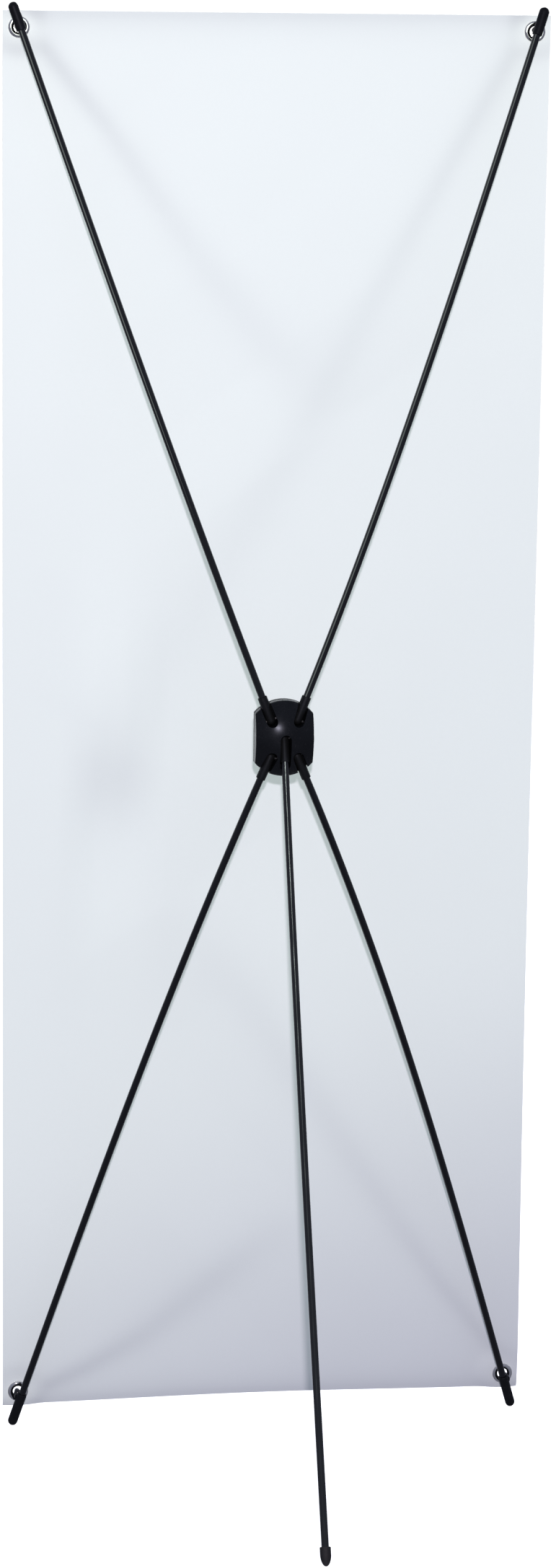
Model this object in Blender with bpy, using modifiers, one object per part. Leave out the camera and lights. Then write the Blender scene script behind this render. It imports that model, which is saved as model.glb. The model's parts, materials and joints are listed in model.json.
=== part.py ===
"""Spring-back banner stand.

A blank banner is hooked by its four grommets on four bowed rods. The rods and a rear leg sit in sockets that
fold rearward about pins in a round hub, so that the stand closes like an umbrella.

World frame, in metres: +Z up, +X to the left as seen from behind, +Y to the rear. The floor is z = 0 and the
origin lies on it, under the middle of the stand.
"""
import math

import bmesh
import bpy
from mathutils import Matrix, Vector

MM = 0.001

# Clearances
PIECE_GAP = 0.3 * MM
PIN_GAP = 0.25 * MM

# Banner: its cut size, its height over the floor and the depth of its folds
BANNER_WIDTH = 610 * MM
BANNER_HEIGHT = 1600 * MM
BANNER_THICKNESS = 0.5 * MM
BANNER_GROUND_GAP = 18 * MM
BANNER_COLUMNS = 14
BANNER_ROWS = 34
FOLD_SPREAD = 34 * MM
FOLD_CALM_START = 38 * MM
FOLD_CALM_END = 130 * MM
HEM_BOW = 9 * MM
HEM_BOW_REACH = 260 * MM

# Grommets: a domed eyelet behind the banner and a washer in front of it
GROMMET_INSET = 17.8 * MM
GROMMET_RADIUS = 12 * MM
GROMMET_HOLE_RADIUS = 6 * MM
GROMMET_WALL = 0.5 * MM
GROMMET_DOME = 2.1 * MM
GROMMET_LIP = 1.7 * MM
WASHER_RADIUS = 11.3 * MM
WASHER_THICKNESS = 0.9 * MM

# Hub: a disc with two flat sides, a front plate and a domed rear shell. It sits a little above the middle
# of the banner, and behind it by the standoff
HUB_RADIUS = 42.9 * MM
HUB_WIDTH = 65.2 * MM
HUB_LIFT = 7.5 * MM
HUB_STANDOFF = 105 * MM
HUB_CORNER = 2 * MM
PLATE_THICKNESS = 6 * MM
PARTING_DEPTH = 7 * MM
RIM_REAR = 2 * MM
DOME_RISE = 17 * MM
SHELL_WALL = 3 * MM
HUB_EDGE = 1.2 * MM
CHANNEL_WALL = 2 * MM

# Pivots in the hub, measured from its centre, and the direction of each slot
PIVOT_SIDE = 15 * MM
PIVOT_RISE = 20.5 * MM
UPPER_ANGLE = math.radians(21.2)
LOWER_ANGLE = math.radians(23.2)
LEG_ANGLE = math.radians(22.4)
SLOT_GAP = 0.9 * MM
LEG_SLOT_RUNOUT = 1.3751 * MM

# Pins, screws and the posts that hold the pins down
PIN_RADIUS = 1.5 * MM
POST_LENGTH = 1.8 * MM
SCREW_RADIUS = 1.5 * MM
SCREW_LENGTH = 14 * MM
SCREW_HEAD_RADIUS = 3 * MM
SCREW_HEAD_HEIGHT = 2 * MM
SCREW_RECESS = 2.4 * MM
SCREW_TOP_INSET = 11.9 * MM
SCREW_SIDE_INSET = 9.6 * MM
BOSS_WALL = 2.2 * MM
DRIVER_SLOT = 0.7 * MM

# Sockets and rods
SOCKET_WALL = 1 * MM
SOCKET_REACH = 27.8 * MM
SOCKET_EDGE = 0.4 * MM
SOCKET_FLOOR = 11 * MM
ROD_RADIUS = 4 * MM
ROD_STEPS = 20

# Corner caps, with the peg that goes through a grommet
CAP_WALL = 1.3 * MM
CAP_STANDOFF = 14 * MM
CAP_SPREAD = 7.2 * MM
CAP_RISE = 21.7 * MM
CAP_PAST_PEG = 5 * MM
PEG_ROOT_RADIUS = 5 * MM
PEG_SEAT_RADIUS = 4 * MM
PEG_TAPER = math.radians(9.5)
PEG_PROUD = 6 * MM
PEG_NOSE = 1.2 * MM
FLOOR_FLAT = 0.5 * MM

# Rear foot: a rubber cap with a long rounded nose
FOOT_WALL = 1.7 * MM
FOOT_NOSE = 13 * MM
FOOT_SLEEVE = 7.5 * MM
FOOT_DEPTH = 481 * MM

# Facets round each kind of turned piece
DOME_STEPS = 48
ROUND_STEPS = 20
SMALL_STEPS = 12
EYELET_STEPS = 24

# Places that follow from the sizes above
BANNER_Y = -FOOT_DEPTH / 2
BANNER_MIDDLE = BANNER_GROUND_GAP + BANNER_HEIGHT / 2
HUB_CENTRE = Vector((0, BANNER_Y + HUB_STANDOFF, BANNER_MIDDLE + HUB_LIFT))
GROMMET_X = BANNER_WIDTH / 2 - GROMMET_INSET
GROMMET_LOW = BANNER_GROUND_GAP + GROMMET_INSET
GROMMET_HIGH = BANNER_GROUND_GAP + BANNER_HEIGHT - GROMMET_INSET
SHEET_HOLE_RADIUS = GROMMET_HOLE_RADIUS + GROMMET_WALL + PIECE_GAP
BORE_RADIUS = ROD_RADIUS + PIECE_GAP
SOCKET_RADIUS = BORE_RADIUS + SOCKET_WALL
CAP_RADIUS = BORE_RADIUS + CAP_WALL
FOOT_RADIUS = BORE_RADIUS + FOOT_WALL
SLOT_HALF_WIDTH = SOCKET_RADIUS + SLOT_GAP
PIN_HOLE_RADIUS = PIN_RADIUS + PIN_GAP
PIN_LENGTH = 2 * (SLOT_HALF_WIDTH + CHANNEL_WALL)
PLATE_REAR = -PARTING_DEPTH - PIECE_GAP
PLATE_FRONT = PLATE_REAR - PLATE_THICKNESS
DOME_RADIUS = (HUB_RADIUS**2 + DOME_RISE**2) / (2 * DOME_RISE)

# Each arm: its name, its side (1 is left as seen from behind) and 1 for upper or -1 for lower
ARMS = (
    ("upper_left", 1, 1),
    ("upper_right", -1, 1),
    ("lower_left", 1, -1),
    ("lower_right", -1, -1),
)

# Each main fold: the side and level of its corner, its angle from upright, its length and its height
FOLDS = (
    (1, 1, math.radians(34), 760 * MM, 7 * MM),
    (-1, 1, math.radians(32), 1150 * MM, 8 * MM),
    (1, -1, math.radians(56), 520 * MM, 6 * MM),
    (-1, -1, math.radians(33), 620 * MM, 7 * MM),
)


def clear_scene():
    """Remove what the scene holds, so that the script can be run again."""
    for obj in list(bpy.data.objects):
        bpy.data.objects.remove(obj, do_unlink=True)
    for collection in list(bpy.data.collections):
        bpy.data.collections.remove(collection)


def new_collection(name):
    collection = bpy.data.collections.new(name)
    bpy.context.scene.collection.children.link(collection)
    return collection


def new_material(name, color, roughness, metallic=0.0):
    material = bpy.data.materials.new(name)
    material.use_nodes = True
    shader = material.node_tree.nodes["Principled BSDF"]
    shader.inputs["Base Color"].default_value = (*color, 1)
    shader.inputs["Roughness"].default_value = roughness
    shader.inputs["Metallic"].default_value = metallic
    material.diffuse_color = (*color, 1)
    return material


clear_scene()
STAND = new_collection("banner_stand")
CUTTERS = new_collection("cutters")
HUB_PLASTIC = new_material("hub_plastic", (0.022, 0.023, 0.025), 0.42)
SOCKET_PLASTIC = new_material("socket_plastic", (0.02, 0.021, 0.021), 0.5)
CAP_PLASTIC = new_material("cap_plastic", (0.018, 0.019, 0.02), 0.45)
FOOT_RUBBER = new_material("foot_rubber", (0.015, 0.015, 0.016), 0.7)
ROD_RESIN = new_material("rod_resin", (0.012, 0.012, 0.013), 0.25)
STEEL = new_material("steel", (0.6, 0.6, 0.6), 0.35, 1.0)
NICKEL = new_material("nickel", (0.78, 0.76, 0.72), 0.15, 1.0)
VINYL = new_material("vinyl", (0.8, 0.84, 0.88), 0.5)


def place(name, data, material=None, matrix=None, parent=None, guide=False):
    """Make an object. A guide is a cutter or an added shape, and isn't a piece of the stand."""
    obj = bpy.data.objects.new(name, data)
    if material:
        obj.data.materials.append(material)
    obj.parent = parent
    obj.matrix_basis = matrix or Matrix()
    if guide:
        obj.hide_render = True
        obj.display_type = "WIRE"
    (CUTTERS if guide else STAND).objects.link(obj)
    return obj


def pivot_empty(name, matrix):
    """An empty on a joint's axis, which carries the pieces that turn about it."""
    empty = bpy.data.objects.new(name, None)
    empty.matrix_basis = matrix
    STAND.objects.link(empty)
    return empty


def smooth(mesh):
    mesh.shade_smooth()
    mesh.set_sharp_from_angle(angle=math.radians(35))
    return mesh


def mesh_of(bm, name):
    mesh = bpy.data.meshes.new(name)
    bm.to_mesh(mesh)
    bm.free()
    return smooth(mesh)


def cylinder(name, radius, low, high, steps=ROUND_STEPS, **placing):
    """A cylinder on the local Z axis, from low to high."""
    bm = bmesh.new()
    middle = Matrix.Translation((0, 0, (low + high) / 2))
    bmesh.ops.create_cone(
        bm, cap_ends=True, segments=steps, radius1=radius, radius2=radius, depth=high - low, matrix=middle
    )
    return place(name, mesh_of(bm, name), **placing)


def box(name, low, high, **placing):
    """A box between two corners."""
    low, high = Vector(low), Vector(high)
    bm = bmesh.new()
    bmesh.ops.create_cube(bm, size=1)
    bmesh.ops.scale(bm, vec=high - low, verts=bm.verts)
    bmesh.ops.translate(bm, vec=(low + high) / 2, verts=bm.verts)
    return place(name, mesh_of(bm, name), **placing)


def turned(name, profile, steps=ROUND_STEPS, closed=False, **placing):
    """A profile of (radius, height) points, which runs down its outer side, turned about the local Z axis."""
    mesh = bpy.data.meshes.new(name)
    count = len(profile)
    edges = [(i, i + 1) for i in range(count - 1)]
    if closed:
        edges.append((count - 1, 0))
    mesh.from_pydata([(radius, 0, height) for radius, height in profile], edges, [])
    obj = place(name, mesh, **placing)
    screw = obj.modifiers.new("turn", "SCREW")
    screw.steps = steps
    screw.render_steps = steps
    screw.use_smooth_shade = True
    screw.use_merge_vertices = True
    screw.merge_threshold = 0.00001
    return obj


def prism(name, outline, low, high, **placing):
    """A closed outline of (x, y) points, extruded along the local Z axis from low to high."""
    curve = bpy.data.curves.new(name, "CURVE")
    curve.dimensions = "2D"
    curve.fill_mode = "BOTH"
    curve.extrude = (high - low) / 2
    spline = curve.splines.new("POLY")
    spline.points.add(len(outline) - 1)
    for point, (x, y) in zip(spline.points, outline):
        point.co = (x, y, 0, 1)
    spline.use_cyclic_u = True
    source = bpy.data.objects.new(name + "_outline", curve)
    CUTTERS.objects.link(source)
    bpy.context.view_layer.update()
    evaluated = source.evaluated_get(bpy.context.evaluated_depsgraph_get())
    mesh = bpy.data.meshes.new_from_object(evaluated)
    bpy.data.objects.remove(source, do_unlink=True)
    bm = bmesh.new()
    bm.from_mesh(mesh)
    bpy.data.meshes.remove(mesh)
    bmesh.ops.remove_doubles(bm, verts=bm.verts, dist=0.000001)
    bmesh.ops.translate(bm, vec=(0, 0, (low + high) / 2), verts=bm.verts)
    return place(name, mesh_of(bm, name), **placing)


def rod_curve(name, points, radius, **placing):
    """A round rod along points, with closed ends."""
    curve = bpy.data.curves.new(name, "CURVE")
    curve.dimensions = "3D"
    curve.bevel_depth = radius
    curve.bevel_resolution = 4
    curve.use_fill_caps = True
    spline = curve.splines.new("POLY")
    spline.points.add(len(points) - 1)
    for point, place_at in zip(spline.points, points):
        point.co = (*place_at, 1)
    return place(name, curve, **placing)


def combine(target, other, operation):
    modifier = target.modifiers.new(other.name, "BOOLEAN")
    modifier.operation = operation
    modifier.object = other


def round_edges(obj, width, angle):
    """Round each edge whose faces meet at more than the angle."""
    edge = obj.modifiers.new("edge", "BEVEL")
    edge.width = width
    edge.segments = 2
    edge.limit_method = "ANGLE"
    edge.angle_limit = angle
    edge.use_clamp_overlap = False


def arc(radius, start, end, steps, centre=(0, 0)):
    """Points on an arc, from start to end in radians."""
    turn = [start + (end - start) * i / steps for i in range(steps + 1)]
    return [(centre[0] + radius * math.cos(a), centre[1] + radius * math.sin(a)) for a in turn]


def frame_along(origin, direction, across=Vector((0, 1, 0))):
    """A matrix at origin whose Z axis is the direction and whose Y axis leans to across."""
    z = direction.normalized()
    x = across.cross(z).normalized()
    y = z.cross(x)
    return Matrix.Translation(origin) @ Matrix((x, y, z)).transposed().to_4x4()


def socket_and_rod(name, pivot, end):
    """A ball-ended socket along the pivot's Z axis and its rod, which bends from the mouth to the end point.

    The rod bends as a beam does that is clamped in the socket and pressed sideways at its free end.
    Returns the rod's direction at its end, in the pivot's frame.
    """
    ball = arc(SOCKET_RADIUS, 0, -math.pi / 2, SMALL_STEPS // 2)
    ball[-1] = (0, -SOCKET_RADIUS)
    mouth = [
        (0, SOCKET_REACH),
        (SOCKET_RADIUS - SOCKET_EDGE, SOCKET_REACH),
        (SOCKET_RADIUS, SOCKET_REACH - SOCKET_EDGE),
    ]
    socket = turned("socket_" + name, mouth + ball, material=SOCKET_PLASTIC, parent=pivot)
    across = Matrix.Rotation(math.pi / 2, 4, "Y")
    bore = cylinder(
        name + "_bore", BORE_RADIUS, SOCKET_FLOOR, SOCKET_REACH + PIECE_GAP, parent=pivot, guide=True
    )
    combine(socket, bore, "DIFFERENCE")
    pin_hole = cylinder(
        name + "_pin_hole",
        PIN_HOLE_RADIUS,
        -2 * SOCKET_RADIUS,
        2 * SOCKET_RADIUS,
        steps=SMALL_STEPS,
        matrix=across,
        parent=pivot,
        guide=True,
    )
    combine(socket, pin_hole, "DIFFERENCE")

    start = Vector((0, 0, SOCKET_REACH))
    span = end.z - SOCKET_REACH
    push = Vector((end.x, end.y, 0))
    points = [Vector((0, 0, SOCKET_FLOOR + PIECE_GAP))]
    for i in range(ROD_STEPS + 1):
        share = i / ROD_STEPS
        bend = 1.5 * share**2 - 0.5 * share**3
        points.append(start + Vector((0, 0, span * share)) + push * bend)
    rod_curve("rod_" + name, points, ROD_RADIUS, material=ROD_RESIN, parent=pivot)
    return (Vector((0, 0, span)) + push * 1.5).normalized()


def build_arm(name, side, level):
    """An arm of the X: its socket, its bowed rod and the corner cap with its peg."""
    angle = UPPER_ANGLE if level > 0 else LOWER_ANGLE
    outward = Vector((side * math.sin(angle), 0, level * math.cos(angle)))
    pivot_at = HUB_CENTRE + Vector((side * PIVOT_SIDE, 0, level * PIVOT_RISE))
    pivot = pivot_empty("arm_" + name, frame_along(pivot_at, outward))
    grommet = Vector((side * GROMMET_X, BANNER_Y, GROMMET_HIGH if level > 0 else GROMMET_LOW))
    cap_centre = Vector((side * (GROMMET_X + CAP_SPREAD), BANNER_Y + CAP_STANDOFF, 0))
    cap_centre.z = GROMMET_HIGH + CAP_RISE if level > 0 else CAP_RADIUS - FLOOR_FLAT
    to_pivot = pivot.matrix_basis.inverted()
    direction = socket_and_rod(name, pivot, to_pivot @ cap_centre)
    along = pivot.matrix_basis.to_3x3() @ direction

    slack = GROMMET_HOLE_RADIUS - PEG_SEAT_RADIUS - PIECE_GAP
    peg_at = grommet + outward * slack
    past_peg = (cap_centre.z - peg_at.z) / along.z
    sleeve_end = -past_peg - CAP_PAST_PEG
    outer = arc(CAP_RADIUS, math.pi / 2, 0, SMALL_STEPS // 2)
    outer[0] = (0, CAP_RADIUS)
    cap_frame = to_pivot @ frame_along(cap_centre, along)
    cap = turned(
        "corner_cap_" + name,
        outer + [(CAP_RADIUS, sleeve_end), (0, sleeve_end)],
        material=CAP_PLASTIC,
        matrix=cap_frame,
        parent=pivot,
    )
    sleeve_depth = (cap_centre - along * past_peg).y - BANNER_Y
    combine(cap, build_peg(name, peg_at, sleeve_depth, to_pivot, pivot), "UNION")
    bore = cylinder(
        name + "_cap_bore",
        BORE_RADIUS,
        sleeve_end - CAP_PAST_PEG,
        PIECE_GAP,
        matrix=cap_frame,
        parent=pivot,
        guide=True,
    )
    combine(cap, bore, "DIFFERENCE")
    if level < 0:
        combine(cap, FLOOR, "DIFFERENCE")


def build_peg(name, at, sleeve_depth, to_pivot, pivot):
    """A tapered peg that points forward from a cap's sleeve, through the grommet behind the banner.

    Its taper is steeper than the arc on which the arm folds, so the peg leaves the grommet without touching.
    """
    seat = GROMMET_DOME / 2
    root = seat + (PEG_ROOT_RADIUS - PEG_SEAT_RADIUS) / math.tan(PEG_TAPER)
    tip_radius = PEG_SEAT_RADIUS - (seat + PEG_PROUD) * math.tan(PEG_TAPER)
    profile = [
        (0, PEG_PROUD + PEG_NOSE),
        (tip_radius * 0.6, PEG_PROUD + PEG_NOSE * 0.8),
        (tip_radius, PEG_PROUD),
        (PEG_ROOT_RADIUS, -root),
        (PEG_ROOT_RADIUS, -sleeve_depth),
        (0, -sleeve_depth),
    ]
    forward = to_pivot @ Matrix.Translation(at) @ Matrix.Rotation(math.pi / 2, 4, "X")
    return turned(name + "_peg", profile, matrix=forward, parent=pivot, guide=True)


def build_leg():
    """The rear leg: its socket, its rod and the rubber foot."""
    outward = Vector((0, math.sin(LEG_ANGLE), -math.cos(LEG_ANGLE)))
    rearward = Vector((0, math.cos(LEG_ANGLE), math.sin(LEG_ANGLE)))
    pivot = pivot_empty("rear_leg", frame_along(HUB_CENTRE, outward, rearward))
    to_pivot = pivot.matrix_basis.inverted()
    # the nose is half an ellipsoid, whose lowest point depends on the leg's slope at the foot
    foot = Vector((0, BANNER_Y + FOOT_DEPTH, FOOT_NOSE - FLOOR_FLAT))
    for _ in range(4):
        end = to_pivot @ foot
        lean = Vector((0, end.y * 1.5, end.z - SOCKET_REACH)).normalized()
        slope = (pivot.matrix_basis.to_3x3() @ lean).z
        foot.z = math.hypot(FOOT_NOSE * slope, FOOT_RADIUS * math.sqrt(1 - slope**2)) - FLOOR_FLAT
    direction = socket_and_rod("rear_leg", pivot, to_pivot @ foot)
    along = pivot.matrix_basis.to_3x3() @ direction
    nose = [(r * FOOT_RADIUS, h * FOOT_NOSE) for r, h in arc(1, math.pi / 2, 0, SMALL_STEPS // 2)]
    nose[0] = (0, FOOT_NOSE)
    sleeve = [
        (FOOT_RADIUS, -FOOT_SLEEVE),
        (BORE_RADIUS, -FOOT_SLEEVE),
        (BORE_RADIUS, PIECE_GAP),
        (0, PIECE_GAP),
    ]
    cap = turned(
        "foot_cap_rear_leg",
        nose + sleeve,
        material=FOOT_RUBBER,
        matrix=to_pivot @ frame_along(foot, along, rearward),
        parent=pivot,
    )
    combine(cap, FLOOR, "DIFFERENCE")


def hub_outline(inset=0.0):
    """The hub's outline: a circle with two flat sides, and rounded corners between them."""
    radius = HUB_RADIUS - inset
    half = HUB_WIDTH / 2 - inset
    corner = min(HUB_CORNER, radius / 4)
    # the corner's arc touches the circle from inside and the flat side
    centre_x = half - corner
    centre_y = math.sqrt((radius - corner) ** 2 - centre_x**2)
    tangent = math.atan2(centre_y, centre_x)
    quarter = arc(corner, 0, tangent, 3, (centre_x, centre_y))
    crown = arc(radius, tangent, math.pi - tangent, DOME_STEPS // 3)[1:-1]
    top = quarter + crown + [(-x, y) for x, y in reversed(quarter)]
    return top + [(-x, -y) for x, y in top]


def slot_outline(half_width, length):
    """A slot that is round about the origin and runs along +Y to a round end at the length."""
    root = arc(half_width, math.pi, 2 * math.pi, ROUND_STEPS // 2)
    return root + arc(half_width, 0, math.pi, ROUND_STEPS // 2, (0, length - half_width))


def hub_frame(offset=Vector(), direction=0.0):
    """A frame on the hub's pivot plane: local Z to the rear, local Y turned by direction from up to +X."""
    lay = Matrix.Rotation(direction, 4, "Y") @ Matrix.Rotation(-math.pi / 2, 4, "X")
    return Matrix.Translation(HUB_CENTRE + offset) @ lay @ Matrix.Rotation(math.pi, 4, "Z")


def pivots():
    """Each pivot's name, its offset from the hub's centre, and its slot's direction and length."""
    through = 2 * HUB_RADIUS
    for name, side, level in ARMS:
        angle = UPPER_ANGLE if level > 0 else math.pi - LOWER_ANGLE
        yield name, Vector((side * PIVOT_SIDE, 0, level * PIVOT_RISE)), side * angle, through
    yield "rear_leg", Vector(), math.pi, leg_clears_dome() + LEG_SLOT_RUNOUT


def leg_clears_dome():
    """How far from its pivot the underside of the leg comes out of the dome."""
    slope = math.tan(LEG_ANGLE)
    drop = BORE_RADIUS / math.cos(LEG_ANGLE) + RIM_REAR + DOME_RISE - DOME_RADIUS
    square = 1 + slope**2
    return (slope * drop + math.sqrt(DOME_RADIUS**2 * square - drop**2)) / square


def screw_places():
    """The name and the offset from the hub's centre of each screw."""
    yield "top", Vector((0, 0, HUB_RADIUS - SCREW_TOP_INSET))
    yield "left", Vector((HUB_WIDTH / 2 - SCREW_SIDE_INSET, 0, 0))
    yield "right", Vector((SCREW_SIDE_INSET - HUB_WIDTH / 2, 0, 0))


def build_rear_shell():
    """The hub's domed rear shell, hollow, with a slot through it for each socket."""
    rear = RIM_REAR + DOME_RISE
    over = HUB_RADIUS + HUB_EDGE
    lean = math.asin(over / DOME_RADIUS)
    crown = arc(DOME_RADIUS, math.pi / 2, math.pi / 2 - lean, 9, (0, rear - DOME_RADIUS))
    crown[0] = (0, rear)
    shell = turned(
        "hub_rear_shell",
        crown + [(over, -PARTING_DEPTH), (0, -PARTING_DEPTH)],
        steps=DOME_STEPS,
        material=HUB_PLASTIC,
        matrix=hub_frame(),
    )
    outside = prism(
        "shell_outside", hub_outline(), -2 * PARTING_DEPTH, 2 * rear, matrix=hub_frame(), guide=True
    )
    combine(shell, outside, "INTERSECT")
    # the rim turns by far more than this, and no facet of the dome or of the outline turns as much
    round_edges(shell, HUB_EDGE, math.radians(25))

    inner_radius = DOME_RADIUS - SHELL_WALL
    inner_lean = math.asin((HUB_RADIUS - SHELL_WALL + HUB_EDGE) / inner_radius)
    ceiling = arc(inner_radius, math.pi / 2, math.pi / 2 - inner_lean, 7, (0, rear - DOME_RADIUS))
    ceiling[0] = (0, rear - SHELL_WALL)
    below = -PARTING_DEPTH - SHELL_WALL
    hollow = turned(
        "shell_hollow",
        ceiling + [(ceiling[-1][0], below), (0, below)],
        steps=DOME_STEPS // 2,
        matrix=hub_frame(),
        guide=True,
    )
    inside = prism("shell_inside", hub_outline(SHELL_WALL), 2 * below, rear, matrix=hub_frame(), guide=True)
    combine(hollow, inside, "INTERSECT")
    for name, offset, direction, length in pivots():
        lay = hub_frame(offset, direction)
        wide = SLOT_HALF_WIDTH + CHANNEL_WALL
        channel = prism(
            name + "_channel",
            slot_outline(wide, length + CHANNEL_WALL),
            3 * below,
            2 * rear,
            matrix=lay,
            guide=True,
        )
        combine(hollow, channel, "DIFFERENCE")
    for name, offset in screw_places():
        boss = cylinder(
            name + "_boss",
            SCREW_RADIUS + BOSS_WALL,
            3 * below,
            2 * rear,
            matrix=hub_frame(offset),
            guide=True,
        )
        combine(hollow, boss, "DIFFERENCE")
    combine(shell, hollow, "DIFFERENCE")

    for name, offset, direction, length in pivots():
        lay = hub_frame(offset, direction)
        slot = prism(
            name + "_slot",
            slot_outline(SLOT_HALF_WIDTH, length),
            -2 * PARTING_DEPTH,
            2 * rear,
            matrix=lay,
            guide=True,
        )
        combine(shell, slot, "DIFFERENCE")
        combine(shell, pin_groove(name, lay), "DIFFERENCE")
    for name, offset in screw_places():
        pilot = cylinder(
            name + "_pilot",
            SCREW_RADIUS + PIECE_GAP,
            -2 * PARTING_DEPTH,
            PLATE_FRONT + SCREW_RECESS + SCREW_LENGTH + PIECE_GAP,
            steps=SMALL_STEPS,
            matrix=hub_frame(offset),
            guide=True,
        )
        combine(shell, pilot, "DIFFERENCE")


def pin_groove(name, lay):
    """The groove that holds a pin: open to the front, round at the pin."""
    half = PIN_HOLE_RADIUS
    groove = slot_outline(half, 2 * PARTING_DEPTH)
    length = PIN_LENGTH / 2 + PIN_GAP
    turn = Matrix.Rotation(-math.pi / 2, 4, "Y") @ Matrix.Rotation(math.pi / 2, 4, "Z")
    down = lay @ turn
    return prism(name + "_groove", groove, -length, length, matrix=down, guide=True)


def build_front_plate():
    """The plate that closes the hub's front, with posts that hold the pins in their grooves."""
    plate = prism(
        "hub_front_plate", hub_outline(), PLATE_FRONT, PLATE_REAR, material=HUB_PLASTIC, matrix=hub_frame()
    )
    round_edges(plate, HUB_EDGE, math.radians(60))
    post_top = -PIN_RADIUS - PIN_GAP
    post_half = PIN_RADIUS - PIN_GAP / 2
    post_middle = (SLOT_HALF_WIDTH + PIN_LENGTH / 2) / 2
    for name, offset, direction, _ in pivots():
        for side in (-1, 1):
            start = side * post_middle - POST_LENGTH / 2
            post = box(
                f"{name}_post_{side}",
                (start, -post_half, PLATE_REAR - HUB_EDGE),
                (start + POST_LENGTH, post_half, post_top),
                matrix=hub_frame(offset, direction),
                guide=True,
            )
            combine(plate, post, "UNION")
    for name, offset in screw_places():
        head = cylinder(
            name + "_recess",
            SCREW_HEAD_RADIUS + PIECE_GAP,
            2 * PLATE_FRONT,
            PLATE_FRONT + SCREW_RECESS + PIECE_GAP,
            matrix=hub_frame(offset),
            guide=True,
        )
        combine(plate, head, "DIFFERENCE")
        hole = cylinder(
            name + "_screw_hole",
            SCREW_RADIUS + PIECE_GAP,
            PLATE_FRONT,
            0,
            steps=SMALL_STEPS,
            matrix=hub_frame(offset),
            guide=True,
        )
        combine(plate, hole, "DIFFERENCE")


def build_screws():
    """The screws of the hub's front plate, each with a cross in its head for the driver."""
    seat = PLATE_FRONT + SCREW_RECESS
    top = seat - SCREW_HEAD_HEIGHT
    profile = [
        (0, seat + SCREW_LENGTH),
        (SCREW_RADIUS * 0.4, seat + SCREW_LENGTH),
        (SCREW_RADIUS, seat + SCREW_LENGTH - SCREW_RADIUS),
        (SCREW_RADIUS, seat),
        (SCREW_HEAD_RADIUS, seat),
        (SCREW_HEAD_RADIUS, top + SCREW_HEAD_HEIGHT / 2),
        (SCREW_HEAD_RADIUS * 0.6, top),
        (0, top),
    ]
    depth = SCREW_HEAD_HEIGHT * 0.6
    reach = SCREW_HEAD_RADIUS * 0.55
    for name, offset in screw_places():
        lay = hub_frame(offset)
        screw = turned("hub_screw_" + name, profile, steps=SMALL_STEPS, material=STEEL, matrix=lay)
        for i, (wide, long) in enumerate(((reach, DRIVER_SLOT / 2), (DRIVER_SLOT / 2, reach))):
            cross = box(
                f"{name}_driver_{i}",
                (-wide, -long, top - depth),
                (wide, long, top + depth),
                matrix=lay,
                guide=True,
            )
            combine(screw, cross, "DIFFERENCE")


def build_pins():
    """The pins on which the sockets turn, one across each slot."""
    across = Matrix.Rotation(math.pi / 2, 4, "Y")
    for name, offset, direction, _ in pivots():
        cylinder(
            "pivot_pin_" + name,
            PIN_RADIUS,
            -PIN_LENGTH / 2,
            PIN_LENGTH / 2,
            steps=SMALL_STEPS,
            material=STEEL,
            matrix=hub_frame(offset, direction) @ across,
        )


def ease(value):
    """A smooth step from 0 to 1 as the value goes from 0 to 1."""
    value = min(max(value, 0), 1)
    return value * value * (3 - 2 * value)


def fold_depth(x, z):
    """How far the stretched banner stands behind its plane, from the folds that run in from its corners."""
    depth = 0.0
    near = BANNER_HEIGHT
    for side, level, angle, length, height in FOLDS:
        corner = Vector((side * GROMMET_X, GROMMET_HIGH if level > 0 else GROMMET_LOW))
        inward = Vector((-side * math.sin(angle), -level * math.cos(angle)))
        away = Vector((x, z)) - corner
        along = away.dot(inward)
        aside = away.x * inward.y - away.y * inward.x
        near = min(near, away.length)
        swell = ease(along / (length / 4)) * ease((length - along) / (length / 2))
        spread = FOLD_SPREAD * (1 + along / length)
        depth += height * swell * math.exp(-((aside / spread) ** 2))
    across = min(abs(x) / GROMMET_X, 1)
    hem = 0.5 * (1 + math.cos(math.pi * across))
    depth -= HEM_BOW * hem * math.exp(-(z - BANNER_GROUND_GAP) / HEM_BOW_REACH)
    return depth * ease((near - FOLD_CALM_START) / (FOLD_CALM_END - FOLD_CALM_START))


def build_banner():
    """The banner: one sheet with shallow folds and a hole for each grommet."""
    bm = bmesh.new()
    upright = Matrix.Rotation(math.pi / 2, 4, "X") @ Matrix.Diagonal((BANNER_WIDTH, BANNER_HEIGHT, 1, 1))
    bmesh.ops.create_grid(bm, x_segments=BANNER_COLUMNS, y_segments=BANNER_ROWS, size=0.5, matrix=upright)
    for vertex in bm.verts:
        vertex.co.y = fold_depth(vertex.co.x, vertex.co.z + BANNER_MIDDLE)
    sheet = place("banner", mesh_of(bm, "banner"), VINYL, Matrix.Translation((0, BANNER_Y, BANNER_MIDDLE)))
    skin = sheet.modifiers.new("thickness", "SOLIDIFY")
    skin.thickness = BANNER_THICKNESS
    skin.offset = 0
    reach = 10 * BANNER_THICKNESS
    for name, side, level in ARMS:
        at = Vector((side * GROMMET_X, BANNER_Y, GROMMET_HIGH if level > 0 else GROMMET_LOW))
        lay = Matrix.Translation(at) @ Matrix.Rotation(-math.pi / 2, 4, "X")
        hole = cylinder(name + "_sheet_hole", SHEET_HOLE_RADIUS, -reach, reach, matrix=lay, guide=True)
        combine(sheet, hole, "DIFFERENCE")
        build_grommet(name, lay)


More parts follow.
